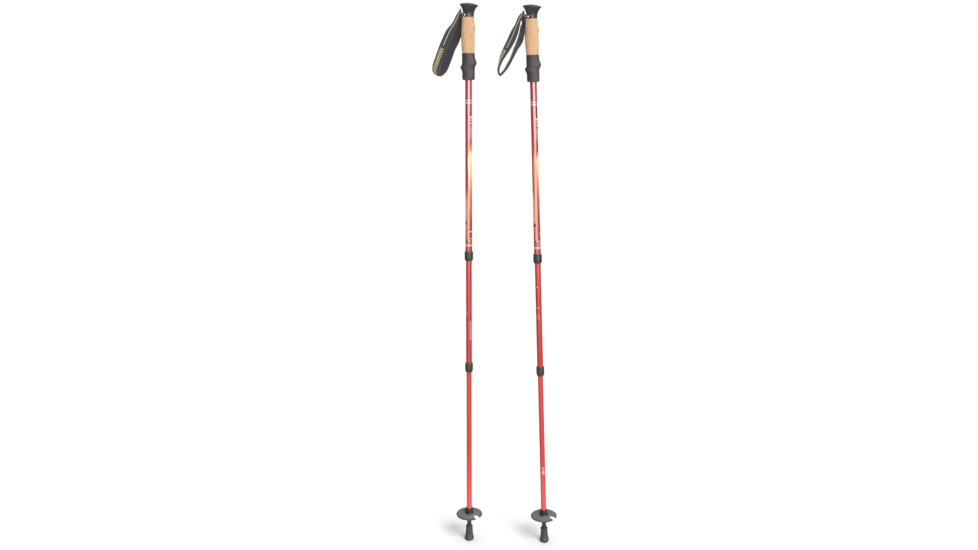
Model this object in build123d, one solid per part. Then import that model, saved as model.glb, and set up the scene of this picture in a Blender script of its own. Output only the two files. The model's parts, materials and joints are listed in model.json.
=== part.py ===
"""A pair of three-section, twist-lock trekking poles: cork grips, wrist straps, trekking baskets, rubber tips.

Each pole is built upright in its own frame and then placed. In that frame +Z runs up the shaft, the foot is
at z = 0, the strap hangs at the back (-X) and the fingers close over the front (+X). Millimetres throughout.
"""

from build123d import *
from math import exp, radians, sin
import os

# ---------------------------------------------------------------- driving dimensions
# Shaft: three drawn aluminium tubes that slide into each other.
UPPER_OD = 16.0
MIDDLE_OD = 14.0
LOWER_OD = 12.0
TUBE_WALL = 0.75

# Heights above the foot, with the pole set for walking.
CAP_RIM = 1262.5
GRIP_TOP = 1235.7
CORK_BOTTOM = 1150.0
GRIP_BOTTOM = 1086.0
UPPER_COLLAR_TOP = 680.0
MIDDLE_COLLAR_TOP = 417.0
BASKET_RIM = 60.7
BOOT_TOP = 32.7

MIDDLE_LENGTH = 520.0
LOWER_LENGTH = 464.0

# How the two poles stand: the second leans over its foot and is set a little shorter.
POLE_SPACING = 177.0
RIGHT_FORWARD = 9.5
RIGHT_LEAN = 1.28
RIGHT_MIDDLE_PUSHED_IN = 6.0
RIGHT_UPPER_RAISED = 2.0

# Fits.
GLUED_GAP = 0.02
RUNNING_GAP = 0.05
LOOSE_GAP = 0.3

# Collars.
COLLAR_LENGTH = 20.5
COLLAR_LIP = 1.5
UPPER_COLLAR_OD = 20.4
MIDDLE_COLLAR_OD = 18.5

# Grip and cap.
NECK_R = 12.8
CAP_R = 22.2
CAP_TILT = 4.5
CAP_FORWARD = 1.0
RIM_THICKNESS = 2.3
DOME_HEIGHT = 3.7
FLARE_POWER = 2.8
CORE_R = 10.5
GRIP_DEPTH = 14.6
GRIP_STEP = 3.0
GRIP_FOOT_ROUNDING = 3.0
BACK_LEDGE = 1116.0
FRONT_LEDGE = 1125.5

# Strap.
PIN_R = 2.0
PIN_AT = (-7.5, 1240.6)
PIN_HALF = 10.0
SLOT_HEIGHT = 9.2
SLOT_REACH = 20.0
SLOT_END = PIN_AT[0] + 4.5
STRAP_BEND = (-15.0, 1239.4)
STRAP_END_TOP = (-16.2, 1245.0)
STRAP_HINGE = (-20.0, 1247.5)
STRAP_BEAD_R = 2.0
NECK_STRAIGHT = 9.0
NECK_LENGTH = 34.0
WEBBING_WIDTH = 15.0
WEBBING_THICK = 1.4
PADDING_WIDTH = 28.0
PADDING_THICK = 1.2
PADDING_TOP = 66.0
STRAP_HANG = 20.0
STRAP_LENGTH = 161.0
NARROW_DOWN_TO = 48.0
WIDE_FROM = 72.0
LOOP_BOTTOM_R = 12.5
LEFT_STRAP_TWIST = 48.0
RIGHT_STRAP_TWIST = 30.0

# Twist locks.
SCREW_R = 2.5
SCREW_FOOT = 13.9
SCREW_TOP = 39.0
SCREW_PITCH = 1.0
THREAD_DEPTH = 0.35
PLUG_DEPTH = 20.0
PLUG_FLANGE = 3.0
EXPANDER_LENGTH = 24.0
EXPANDER_FLOOR = 3.0
SLIT_WIDTH = 2.2
TAPER_LENGTH = 18.0
TAPER_SMALL_R = 3.4
WEDGE_LENGTH = 15.0
WEDGE_NECK = 3.5
KEY_WIDTH = 2.0
NUT_FLATS_R = 4.0
NUT_THICK = 3.0
NUT_FOOT = 35.0

# Tip.
FERRULE_TOP_R = 5.5
BASKET_R = 30.3
HUB_R = 8.5
HUB_TOP = 13.7
WEB_RINGS = (14.0, 18.0, 22.0, 26.0)
RING_PITCH = 2.0
RING_COUNT = 5
FERRULE_PLUG = 26.0
CARBIDE_TOP = 18.0
HOOK_R = 6.2
HOOK_OUT = 21.5
HOOK_ANGLE = -41.0
HOOK_MOUTH_TURN = -20.0
RIM_TEETH = 32
TOOTH_GAP_R = 1.7
RIGHT_BASKET_TURN = 11.0
BOOT_BORE_R = 5.05
BOOT_FLOOR = 8.0
BOOT_RING_R = 8.1
BOOT_NECK_R = 7.5
BOOT_FLARE = (8.7, 12.0)
BOOT_FOOT = (10.3, 6.0)
SOLE_R = 8.0
CARBIDE_R = 1.75

# ---------------------------------------------------------------- worked-out sizes
UPPER_BORE_R = UPPER_OD / 2 - TUBE_WALL
MIDDLE_BORE_R = MIDDLE_OD / 2 - TUBE_WALL
LOWER_BORE_R = LOWER_OD / 2 - TUBE_WALL
UPPER_COLLAR_BOTTOM = UPPER_COLLAR_TOP - COLLAR_LENGTH
MIDDLE_COLLAR_BOTTOM = MIDDLE_COLLAR_TOP - COLLAR_LENGTH
UPPER_TUBE_BOTTOM = UPPER_COLLAR_BOTTOM + COLLAR_LIP
UPPER_TUBE_TOP = GRIP_TOP - 14
MIDDLE_TUBE_BOTTOM = MIDDLE_COLLAR_BOTTOM + COLLAR_LIP
MIDDLE_TUBE_TOP = MIDDLE_TUBE_BOTTOM + MIDDLE_LENGTH
LOWER_TUBE_BOTTOM = BASKET_RIM + 5.3
LOWER_TUBE_TOP = LOWER_TUBE_BOTTOM + LOWER_LENGTH

UP = (Align.CENTER, Align.CENTER, Align.MIN)


# ---------------------------------------------------------------- shape helpers
def disc(radius, low, high):
    """A plain cylinder on the shaft's axis, between two heights."""
    return Pos(0, 0, low) * Cylinder(radius, high - low, align=UP)


def sleeve(outer_r, inner_r, low, high):
    """A tube on the shaft's axis, between two heights."""
    return disc(outer_r, low, high) - disc(inner_r, low, high)


def turned(points):
    """A solid of revolution about the shaft's axis, from an outline of (radius, height) points."""
    outline = make_face(Polyline([(r, 0, z) for r, z in points], close=True))
    return revolve(outline, Axis.Z)


def swell(height, centre, reach, size):
    """A smooth bump of a given size, centred on one height and fading over its reach."""
    return size * exp(-(((height - centre) / reach) ** 2))


def grip_body(low, high, back, front, edge=0.0, tips=()):
    """A sleeve of ellipses across the shaft, from formulas for its back and front.

    Edge rounds its foot, and each ledge tip gets a section of its own.
    """
    steps = round((high - low) / GRIP_STEP)
    even = [low + (high - low) * step / steps for step in range(steps + 1)]
    heights = sorted([h for h in even if all(abs(h - tip) > GRIP_STEP / 4 for tip in tips)] + list(tips))
    if edge:
        heights[1:1] = [low + edge * part for part in (0.1, 0.35)]
    faces = []
    for height in heights:
        sunk = max(0.0, 1 - (height - low) / edge) if edge else 0.0
        inset = edge * (1 - (1 - sunk**2) ** 0.5)
        middle = (front(height) - back(height)) / 2
        half = (front(height) + back(height)) / 2 - inset
        depth = GRIP_DEPTH + (half - GRIP_DEPTH) / 3 - inset / 2
        faces.append(Plane(origin=(middle, 0, height)) * Ellipse(half, depth))
    return loft(faces, ruled=True)


def ply(path, thickness, width):
    """A flat strap of round-ended stretches along a path of (x, z) points, its width across the pole."""
    stretches = []
    for (x0, z0), (x1, z1) in zip(path, path[1:]):
        ends = [Pos(x, z) * Circle(thickness / 2) for x, z in ((x0, z0), (x1, z1))]
        stretches.append(extrude(make_hull(ends[0].edges() + ends[1].edges()), width / 2, both=True))
    flat = stretches[0]
    for stretch in stretches[1:]:
        flat += stretch
    return Rot(90, 0, 0) * flat


# ---------------------------------------------------------------- grip
def grip_cap():
    """The moulded head: a neck that flares to a tilted, domed palm rest, with a slot for the strap's end."""
    height = CAP_RIM - GRIP_TOP
    flare = []
    for step in (0, 0.2, 0.4, 0.6, 0.75, 0.88, 1):
        radius = NECK_R + (CAP_R - 0.5 - NECK_R) * step**FLARE_POWER
        centre = Pos(CAP_FORWARD * step, 0, GRIP_TOP + height * step) * Rot(0, CAP_TILT * step, 0)
        flare.append(centre * Circle(radius))
    edge = RIM_THICKNESS / 2
    dome_base = CAP_R - edge
    ball_r = (dome_base**2 + DOME_HEIGHT**2) / (2 * DOME_HEIGHT)
    half_way = ((ball_r**2 - dome_base**2 / 4) ** 0.5) - ball_r
    rim_low = Vector(dome_base, 0, 0)
    rim_high = Vector(dome_base, 0, RIM_THICKNESS)
    dome_top = Vector(0, 0, RIM_THICKNESS + DOME_HEIGHT)
    outline = (
        Line((0, 0, 0), rim_low)
        + ThreePointArc(rim_low, (CAP_R, 0, edge), rim_high)
        + ThreePointArc(rim_high, (dome_base / 2, 0, dome_top.Z + half_way), dome_top)
        + Line(dome_top, (0, 0, 0))
    )
    top = revolve(make_face(outline), Axis.Z)
    head = loft(flare) + Pos(CAP_FORWARD, 0, CAP_RIM) * Rot(0, CAP_TILT, 0) * top
    spigot = disc(UPPER_OD / 2 - GLUED_GAP, UPPER_TUBE_TOP + 1.5, GRIP_TOP + 1)
    outward = (Align.MAX, Align.CENTER, Align.MIN)
    slot = Pos(SLOT_END, 0, GRIP_TOP - 0.1) * Box(SLOT_REACH, WEBBING_WIDTH + 1.4, SLOT_HEIGHT, align=outward)
    pin_hole = Pos(PIN_AT[0], 0, PIN_AT[1]) * Rot(90, 0, 0) * Cylinder(PIN_R, 2 * PIN_HALF)
    return head + spigot - slot - pin_hole


def cork_back(height):
    """How far the cork reaches behind the axis: a long palm swell."""
    return 14.7 + swell(height, 1187, 34, 2.9)


def cork_front(height):
    """How far the cork reaches in front of the axis, with a low swell under the first finger."""
    return 13.4 + swell(height, 1180, 38, 1.8) + swell(height, 1209, 6.5, 2.0)


def cork_grip():
    """The cork sleeve, which swells in the palm."""
    body = grip_body(CORK_BOTTOM, GRIP_TOP - 0.1, cork_back, cork_front)
    return body - disc(CORE_R + GLUED_GAP, CORK_BOTTOM - 1, GRIP_TOP + 1)


def ledge(height, tip, above, below, size):
    """A ridge with a sharp tip, sloping to nothing over one distance above it and another below."""
    gone = (height - tip) / above if height > tip else (tip - height) / below
    return size * max(0.0, 1 - gone) ** 1.4


def rubber_back(height):
    """How far the rubber reaches behind the axis, with the smaller ledge."""
    return 14.9 + swell(height, CORK_BOTTOM, 30, 0.8) + ledge(height, BACK_LEDGE, 8, 12, 5.1)


def rubber_front(height):
    """How far the rubber reaches in front of the axis, with the finger ledge."""
    return 14.9 + swell(height, CORK_BOTTOM, 30, 0.1) + ledge(height, FRONT_LEDGE, 17, 12, 5.2)


def lower_grip():
    """The rubber sleeve under the cork, with a finger ledge at the front and a smaller one at the back."""
    top = CORK_BOTTOM - GLUED_GAP
    tips = (BACK_LEDGE, FRONT_LEDGE)
    body = grip_body(GRIP_BOTTOM, top, rubber_back, rubber_front, GRIP_FOOT_ROUNDING, tips)
    core_space = disc(CORE_R + GLUED_GAP, GRIP_BOTTOM + 4, CORK_BOTTOM + 1)
    shaft_space = disc(UPPER_OD / 2 + GLUED_GAP, GRIP_BOTTOM - 1, GRIP_BOTTOM + 5)
    return body - core_space - shaft_space


def grip_core():
    """The plastic sleeve glued on the tube, which carries the cork, the rubber and the cap."""
    return sleeve(CORE_R, UPPER_OD / 2 + GLUED_GAP, GRIP_BOTTOM + 4.1, GRIP_TOP - 0.1)


def strap_pin():
    """The steel cross pin that holds the strap's sewn end in the head."""
    pin = Cylinder(PIN_R - GLUED_GAP, 2 * PIN_HALF - 0.2)
    return Pos(PIN_AT[0], 0, PIN_AT[1]) * Rot(90, 0, 0) * pin


def strap_end():
    """The doubled webbing sewn round the pin, which comes out of the slot and rises beside the neck."""
    across = Pos(PIN_AT[0], 0, PIN_AT[1]) * Rot(90, 0, 0)
    eye = across * Cylinder(PIN_R + WEBBING_THICK, WEBBING_WIDTH)
    bore = across * Cylinder(PIN_R + GLUED_GAP, WEBBING_WIDTH)
    return ply([PIN_AT, STRAP_BEND, STRAP_END_TOP], 2 * WEBBING_THICK, WEBBING_WIDTH) + eye - bore


# ---------------------------------------------------------------- wrist strap
def loop_ring(bottom_r, top_r, thickness, width):
    """A teardrop loop hanging along -Z under the strap's neck, its width along Y."""
    bottom = -(STRAP_LENGTH - LOOP_BOTTOM_R)

    def teardrop(inset):
        low = Pos(0, bottom) * Circle(bottom_r - inset)
        high = Pos(0, -NECK_LENGTH) * Circle(top_r - inset)
        return make_hull(low.edges() + high.edges())

    ring = teardrop(0) - teardrop(thickness)
    return Rot(90, 0, 0) * extrude(ring, width / 2, both=True)


def paddle():
    """The strap's outline seen flat: narrow webbing at the top, a wide padded stretch below."""
    narrow = WEBBING_WIDTH / 2
    wide = PADDING_WIDTH / 2
    half = [(narrow, 0), (narrow, -NARROW_DOWN_TO), (wide, -WIDE_FROM), (wide, -STRAP_LENGTH - 1)]
    outline = half + [(-y, z) for y, z in reversed(half)]
    face = make_face(Polyline([(0, y, z) for y, z in outline], close=True))
    return extrude(face, STRAP_LENGTH / 4, both=True, dir=(1, 0, 0))


def hung(shape, twist):
    """Turns a loop about its own length and hangs it from the strap's hinge line."""
    hinge = Pos(STRAP_HINGE[0], 0, STRAP_HINGE[1])
    return hinge * Rot(0, STRAP_HANG, 0) * Rot(0, 0, twist) * shape


def wrist_strap(twist):
    """The webbing loop: a round bead on its bending line, a neck that twists, and the hanging loop."""
    ring = loop_ring(LOOP_BOTTOM_R, 2 * WEBBING_THICK, WEBBING_THICK, PADDING_WIDTH) & paddle()
    ply_face = Rectangle(2 * WEBBING_THICK, WEBBING_WIDTH)
    sections = []
    for along in (0, 1 / 3, 2 / 3, 1):
        depth = NECK_STRAIGHT + (NECK_LENGTH - NECK_STRAIGHT) * along
        sections.append(Rot(0, 0, -twist * (1 - along)) * Pos(0, 0, -depth) * ply_face)
    straight = Pos(0, 0, -NECK_STRAIGHT) * extrude(ply_face, NECK_STRAIGHT)
    bead = Rot(90, 0, 0) * Cylinder(STRAP_BEAD_R, WEBBING_WIDTH)
    return hung(ring + loft(sections) + Rot(0, 0, -twist) * (straight + bead), twist)


def strap_padding(twist):
    """The soft lining sewn inside the wide stretch of the loop."""
    inside = WEBBING_THICK + GLUED_GAP
    ring = loop_ring(LOOP_BOTTOM_R - inside, 2 * WEBBING_THICK - inside, PADDING_THICK, PADDING_WIDTH)
    hanging_down = (Align.CENTER, Align.CENTER, Align.MAX)
    wide_stretch = Pos(0, 0, -PADDING_TOP) * Box(
        4 * LOOP_BOTTOM_R, 2 * PADDING_WIDTH, STRAP_LENGTH, align=hanging_down
    )
    return hung(ring & paddle() & wide_stretch, twist)


# ---------------------------------------------------------------- shaft
def collar(outer_d, tube_od, inner_od, top):
    """The plastic end sleeve of a tube: glued on outside, with a lip that guides the next tube."""
    outer = outer_d / 2
    bottom = top - COLLAR_LENGTH
    tube_r = tube_od / 2 + GLUED_GAP
    guide_r = inner_od / 2 + RUNNING_GAP
    step = bottom + COLLAR_LIP - GLUED_GAP
    return turned([
        (guide_r, bottom),
        (outer - 1.3, bottom),
        (outer - 0.35, bottom + 1.6),
        (outer, bottom + 6),
        (outer, top - 1),
        (outer - 0.8, top),
        (tube_r, top),
        (tube_r, step),
        (guide_r, step),
    ])


# ---------------------------------------------------------------- twist lock
def lock_plug(tube_top, tube_od, bore_r):
    """The plug glued into the top of an inner tube, with a flange on the tube's end."""
    plug = disc(bore_r - GLUED_GAP, tube_top - PLUG_DEPTH, tube_top + PLUG_FLANGE)
    flange = disc(tube_od / 2 - 0.1, tube_top + GLUED_GAP, tube_top + PLUG_FLANGE)
    socket = disc(SCREW_R + GLUED_GAP, tube_top - SCREW_FOOT - GLUED_GAP, tube_top + PLUG_FLANGE)
    return plug + flange - socket


def lock_screw(tube_top):
    """The steel screw moulded into the plug, with its thread shown as rings."""
    thread_low = tube_top + PLUG_FLANGE + 1
    thread_high = tube_top + SCREW_TOP - 1
    outline = [(0, tube_top - SCREW_FOOT), (SCREW_R, tube_top - SCREW_FOOT)]
    for turn in range(round((thread_high - thread_low) / SCREW_PITCH)):
        crest = thread_low + turn * SCREW_PITCH
        outline += [(SCREW_R, crest), (SCREW_R - THREAD_DEPTH, crest + SCREW_PITCH / 2)]
    outline += [(SCREW_R, thread_high), (SCREW_R - 0.5, tube_top + SCREW_TOP), (0, tube_top + SCREW_TOP)]
    return turned(outline)


def lock_stop_nut(tube_top):
    """The nut on the screw's end, which keeps the expander on."""
    hexagon = extrude(RegularPolygon(NUT_FLATS_R, 6, major_radius=False), NUT_THICK)
    return Pos(0, 0, tube_top + NUT_FOOT) * (hexagon - disc(SCREW_R + GLUED_GAP, -1, NUT_THICK + 1))


def wedge_radius(bore_r, height):
    """The taper shared by the expander's bore and the wedge nut, by height above the tube's end."""
    top = PLUG_FLANGE + LOOSE_GAP + EXPANDER_LENGTH
    up_the_taper = (height - (top - TAPER_LENGTH)) / TAPER_LENGTH
    return TAPER_SMALL_R + (bore_r - 1.1 - TAPER_SMALL_R) * up_the_taper


def expander(tube_top, bore_r):
    """The split plastic sleeve that the wedge nut spreads against the outer tube's bore."""
    low = tube_top + PLUG_FLANGE + LOOSE_GAP
    high = low + EXPANDER_LENGTH
    outer = bore_r - RUNNING_GAP
    taper_foot = high - TAPER_LENGTH
    small = wedge_radius(bore_r, taper_foot - tube_top)
    body = turned([
        (SCREW_R + 0.1, low),
        (outer - 0.5, low),
        (outer, low + 0.8),
        (outer, high - 0.8),
        (outer - 0.5, high),
        (wedge_radius(bore_r, high - tube_top), high),
        (small, taper_foot),
        (small, low + EXPANDER_FLOOR),
        (SCREW_R + 0.1, low + EXPANDER_FLOOR),
    ])
    slit = Pos(0, 0, low + EXPANDER_FLOOR + 1) * Box(2 * outer + 2, SLIT_WIDTH, EXPANDER_LENGTH, align=UP)
    return body - slit - Rot(0, 0, 90) * slit


def wedge_nut(tube_top, bore_r):
    """The tapered nut on the screw, with two keys that run in the expander's slits."""
    top = PLUG_FLANGE + LOOSE_GAP + EXPANDER_LENGTH
    foot = top - WEDGE_LENGTH
    gap = 0.04
    bore = SCREW_R + RUNNING_GAP
    cone = turned([
        (bore, tube_top + foot),
        (wedge_radius(bore_r, foot) - gap, tube_top + foot),
        (wedge_radius(bore_r, top) - gap, tube_top + top),
        (wedge_radius(bore_r, top) - gap, tube_top + top + WEDGE_NECK),
        (bore, tube_top + top + WEDGE_NECK),
    ])
    key = Pos(0, 0, tube_top + foot) * Box(2 * (bore_r - 0.6), KEY_WIDTH, WEDGE_LENGTH, align=UP)
    return cone + (key - disc(bore + 0.3, tube_top, tube_top + 2 * top))


# ---------------------------------------------------------------- tip
def tip_ferrule():
    """The plastic tip piece: a spigot in the lower tube, rings for the basket and a long taper."""
    flange_low = LOWER_TUBE_BOTTOM - 4
    outline = [
        (0, LOWER_TUBE_BOTTOM + FERRULE_PLUG),
        (LOWER_BORE_R - 0.6, LOWER_TUBE_BOTTOM + FERRULE_PLUG),
        (LOWER_BORE_R - GLUED_GAP, LOWER_TUBE_BOTTOM + FERRULE_PLUG - 1.5),
        (LOWER_BORE_R - GLUED_GAP, LOWER_TUBE_BOTTOM - GLUED_GAP),
        (LOWER_OD / 2, LOWER_TUBE_BOTTOM - GLUED_GAP),
        (LOWER_OD / 2, flange_low),
    ]
    for ring in range(RING_COUNT):
        crest = flange_low - 0.5 - ring * RING_PITCH
        outline += [(FERRULE_TOP_R, crest), (FERRULE_TOP_R - 0.5, crest - RING_PITCH / 2)]
    outline += [
        (FERRULE_TOP_R - 0.3, BASKET_RIM - 8.5),
        (FERRULE_TOP_R - 0.5, BOOT_TOP + 6),
        (4.6, BOOT_FLOOR + 9),
        (3.4, BOOT_FLOOR + 8),
        (0, BOOT_FLOOR + 8),
    ]
    return turned(outline) - disc(CARBIDE_R + GLUED_GAP, BOOT_FLOOR + 7, BOOT_FLOOR + CARBIDE_TOP)


def carbide_tip():
    """The hard metal insert, with a hollow-ground end."""
    low = BOOT_FLOOR + 2.2
    return turned([
        (0, BOOT_FLOOR + CARBIDE_TOP - RUNNING_GAP),
        (CARBIDE_R, BOOT_FLOOR + CARBIDE_TOP - RUNNING_GAP),
        (CARBIDE_R, low + 0.8),
        (CARBIDE_R - 0.4, low),
        (0, low + 0.9),
    ])


def basket():
    """The trekking basket: a hub on the ferrule's rings and a shallow cone with a hook-shaped notch."""
    hub_bore = FERRULE_TOP_R + RUNNING_GAP
    socket_r = LOWER_OD / 2 + LOOSE_GAP
    socket_floor = LOWER_TUBE_BOTTOM - 5
    body = turned([
        (hub_bore, BASKET_RIM - 7.5),
        (HUB_R - 1.5, BASKET_RIM - 7.5),
        (HUB_R - 0.3, BASKET_RIM - 0.6),
        (BASKET_R - 1.0, BASKET_RIM - 2.4),
        (BASKET_R, BASKET_RIM - 1.8),
        (BASKET_R, BASKET_RIM - 0.5),
        (BASKET_R - 1.2, BASKET_RIM),
        (HUB_R + 0.8, BASKET_RIM + 2.6),
        (HUB_R, BASKET_RIM + 3.8),
        (HUB_R, BASKET_RIM + HUB_TOP - 0.8),
        (HUB_R - 0.8, BASKET_RIM + HUB_TOP),
        (socket_r, BASKET_RIM + HUB_TOP),
        (socket_r, socket_floor),
        (hub_bore, socket_floor),
    ])
    for ring_r in WEB_RINGS:
        height = BASKET_RIM + 2.6 * (BASKET_R - ring_r) / (BASKET_R - HUB_R)
        body += Pos(0, 0, height) * Torus(ring_r, 0.55)
    low, high = BASKET_RIM - 10, BASKET_RIM + 10
    tooth_gap = Pos(BASKET_R + 0.6 * TOOTH_GAP_R, 0, 0) * disc(TOOTH_GAP_R, low, high)
    for tooth in range(RIM_TEETH):
        body -= Rot(0, 0, 360 / RIM_TEETH * tooth) * tooth_gap
    mouth = Box(BASKET_R, 1.96 * HOOK_R, high - low, align=(Align.MIN, Align.CENTER, Align.MIN))
    notch = disc(HOOK_R, low, high) + Pos(0, 0, low) * Rot(0, 0, HOOK_MOUTH_TURN) * mouth
    return body - Rot(0, 0, HOOK_ANGLE) * Pos(HOOK_OUT, 0, 0) * notch


def rubber_tip():
    """The push-on rubber boot: a rolled top edge, a long taper and a flared foot with a flat sole."""
    widest = (BOOT_FOOT[0], 0, BOOT_FOOT[1])
    sole_edge = (SOLE_R, 0, 0)
    outline = (
        Polyline([
            (BOOT_BORE_R, 0, BOOT_FLOOR),
            (BOOT_BORE_R, 0, BOOT_TOP),
            (BOOT_NECK_R, 0, BOOT_TOP),
            (BOOT_RING_R, 0, BOOT_TOP - 0.9),
            (BOOT_RING_R, 0, BOOT_TOP - 4.4),
            (BOOT_NECK_R, 0, BOOT_TOP - 5.2),
            (BOOT_FLARE[0], 0, BOOT_FLARE[1]),
            widest,
        ])
        + ThreePointArc(widest, (BOOT_FOOT[0] - 0.1, 0, BOOT_FOOT[1] - 3.4), sole_edge)
        + Polyline([sole_edge, (0, 0, 0), (0, 0, BOOT_FLOOR), (BOOT_BORE_R, 0, BOOT_FLOOR)])
    )
    return revolve(make_face(outline), Axis.Z)


def tip_washer():
    """The steel disc on the boot's floor, which stops the hard tip from punching through."""
    return disc(BOOT_BORE_R - 0.1, BOOT_FLOOR + 0.05, BOOT_FLOOR + 1.2)


# ---------------------------------------------------------------- one pole
def pole_pieces(strap_twist, basket_turn):
    """Every piece of one pole, grouped by the section that carries it."""
    upper = {
        "grip_cap": grip_cap(),
        "cork_grip": cork_grip(),
        "lower_grip": lower_grip(),
        "grip_core": grip_core(),
        "strap_pin": strap_pin(),
        "strap_end": strap_end(),
        "wrist_strap": wrist_strap(strap_twist),
        "strap_padding": strap_padding(strap_twist),
        "upper_tube": sleeve(UPPER_OD / 2, UPPER_BORE_R, UPPER_TUBE_BOTTOM, UPPER_TUBE_TOP),
        "upper_collar": collar(UPPER_COLLAR_OD, UPPER_OD, MIDDLE_OD, UPPER_COLLAR_TOP),
    }
    middle = {
        "middle_tube": sleeve(MIDDLE_OD / 2, MIDDLE_BORE_R, MIDDLE_TUBE_BOTTOM, MIDDLE_TUBE_TOP),
        "middle_collar": collar(MIDDLE_COLLAR_OD, MIDDLE_OD, LOWER_OD, MIDDLE_COLLAR_TOP),
        "upper_lock_plug": lock_plug(MIDDLE_TUBE_TOP, MIDDLE_OD, MIDDLE_BORE_R),
        "upper_lock_screw": lock_screw(MIDDLE_TUBE_TOP),
        "upper_lock_expander": expander(MIDDLE_TUBE_TOP, UPPER_BORE_R),
        "upper_lock_wedge_nut": wedge_nut(MIDDLE_TUBE_TOP, UPPER_BORE_R),
        "upper_lock_stop_nut": lock_stop_nut(MIDDLE_TUBE_TOP),
    }
    lower = {
        "lower_tube": sleeve(LOWER_OD / 2, LOWER_BORE_R, LOWER_TUBE_BOTTOM, LOWER_TUBE_TOP),
        "lower_lock_plug": lock_plug(LOWER_TUBE_TOP, LOWER_OD, LOWER_BORE_R),
        "lower_lock_screw": lock_screw(LOWER_TUBE_TOP),
        "lower_lock_expander": expander(LOWER_TUBE_TOP, MIDDLE_BORE_R),
        "lower_lock_wedge_nut": wedge_nut(LOWER_TUBE_TOP, MIDDLE_BORE_R),
        "lower_lock_stop_nut": lock_stop_nut(LOWER_TUBE_TOP),
        "tip_ferrule": tip_ferrule(),
        "carbide_tip": carbide_tip(),
        "basket": Rot(0, 0, basket_turn) * basket(),
        "rubber_tip": rubber_tip(),
        "tip_washer": tip_washer(),
    }
    return {"upper": upper, "middle": middle, "lower": lower}


def write_pole(side, stand, heights, strap_twist, basket_turn):
    """Places one pole's sections along its shaft, stands the pole in place and writes its pieces."""
    for section, pieces in pole_pieces(strap_twist, basket_turn).items():
        for name, piece in pieces.items():
            placed = stand * Pos(0, 0, heights[section]) * piece
            export_step(placed, f"parts/{side}_{name}.step")


def main():
    os.makedirs("parts", exist_ok=True)
    as_set = {"upper": 0, "middle": 0, "lower": 0}
    write_pole("left", Pos(0, 0, 0), as_set, LEFT_STRAP_TWIST, 0)

    foot_lift = SOLE_R * sin(radians(RIGHT_LEAN))
    stand = Pos(POLE_SPACING, -RIGHT_FORWARD, foot_lift) * Rot(0, -RIGHT_LEAN, 0)
    shorter = {
        "upper": RIGHT_UPPER_RAISED - RIGHT_MIDDLE_PUSHED_IN,
        "middle": -RIGHT_MIDDLE_PUSHED_IN,
        "lower": 0,
    }
    write_pole("right", stand, shorter, RIGHT_STRAP_TWIST, RIGHT_BASKET_TURN)


main()
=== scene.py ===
"""Looks, light and camera for a pair of trekking poles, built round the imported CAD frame.

Lengths handed to Blender are metres in the frame's own axes. Pieces are shaped in their pole's own frame, in
millimetres: +Z up the shaft from the foot, -X towards the strap, -Y towards the front, where the camera stands.
"""

import json
import math

import bpy
from mathutils import Matrix, Vector, noise


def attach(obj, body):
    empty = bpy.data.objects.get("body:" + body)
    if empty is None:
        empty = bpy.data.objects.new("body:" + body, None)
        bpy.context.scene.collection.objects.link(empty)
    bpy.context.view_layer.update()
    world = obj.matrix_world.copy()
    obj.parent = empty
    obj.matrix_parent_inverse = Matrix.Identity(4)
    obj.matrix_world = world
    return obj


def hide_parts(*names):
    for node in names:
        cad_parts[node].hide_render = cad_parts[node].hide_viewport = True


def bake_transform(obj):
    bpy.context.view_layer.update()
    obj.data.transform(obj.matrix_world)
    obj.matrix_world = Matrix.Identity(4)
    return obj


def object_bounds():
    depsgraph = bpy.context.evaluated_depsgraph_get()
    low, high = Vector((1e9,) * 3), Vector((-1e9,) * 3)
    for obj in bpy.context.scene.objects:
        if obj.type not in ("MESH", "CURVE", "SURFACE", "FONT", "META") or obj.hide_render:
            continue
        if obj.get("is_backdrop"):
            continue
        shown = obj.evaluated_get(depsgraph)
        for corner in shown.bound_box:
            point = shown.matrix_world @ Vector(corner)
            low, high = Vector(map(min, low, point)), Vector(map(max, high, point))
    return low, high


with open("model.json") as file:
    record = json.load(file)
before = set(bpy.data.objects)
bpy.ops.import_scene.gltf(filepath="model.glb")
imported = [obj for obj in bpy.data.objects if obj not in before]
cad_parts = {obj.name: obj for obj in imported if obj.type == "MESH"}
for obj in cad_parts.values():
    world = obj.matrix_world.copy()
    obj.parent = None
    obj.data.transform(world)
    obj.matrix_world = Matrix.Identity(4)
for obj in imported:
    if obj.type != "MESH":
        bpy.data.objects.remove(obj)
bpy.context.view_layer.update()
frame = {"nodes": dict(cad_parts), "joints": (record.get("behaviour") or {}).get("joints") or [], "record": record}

SIDES = ("left", "right")
MM = 0.001

# ---------------------------------------------------------------- settings
# Heights along the left pole of the printed marks, in millimetres.
FLAME_TOP = 940.0
FLAME_FOOT = 748.0
LEFT_FLAME_TOP = 826.0
LEFT_FLAME_FOOT = 752.0
LENGTH_MARK = 606.0
LENGTH_STEP = 49.0
STOP_RING = 535.0
LOWER_MARK = 167.0
# How far round the shaft each pole's print is turned, in radians from the front towards the right.
FLAME_TURN = {"left": 0.0, "right": 0.55}
# Middle height and half height of the painted highlight band down each upper tube, in millimetres.
PAINTED_HIGHLIGHT_MIDDLE = {"left": 760.0, "right": 805.0}
PAINTED_HIGHLIGHT_HALF = {"left": 58.0, "right": 110.0}
TONGUE_TURN = {"left": 0.0, "right": -0.25}
MIDDLE_PRINT_TURN = {"left": -1.15, "right": -0.35}
LOWER_PRINT_ANGLE = {"left": 2.6, "right": 0.25}
# Distances along a wrist strap's tape, in millimetres.
STRIPE_FROM = 21.0
STRIPE_TO = 118.0
CHEVRON_FROM = 124.0
CHEVRON_TO = 188.0
CHEVRON_PITCH = 6.6
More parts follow.
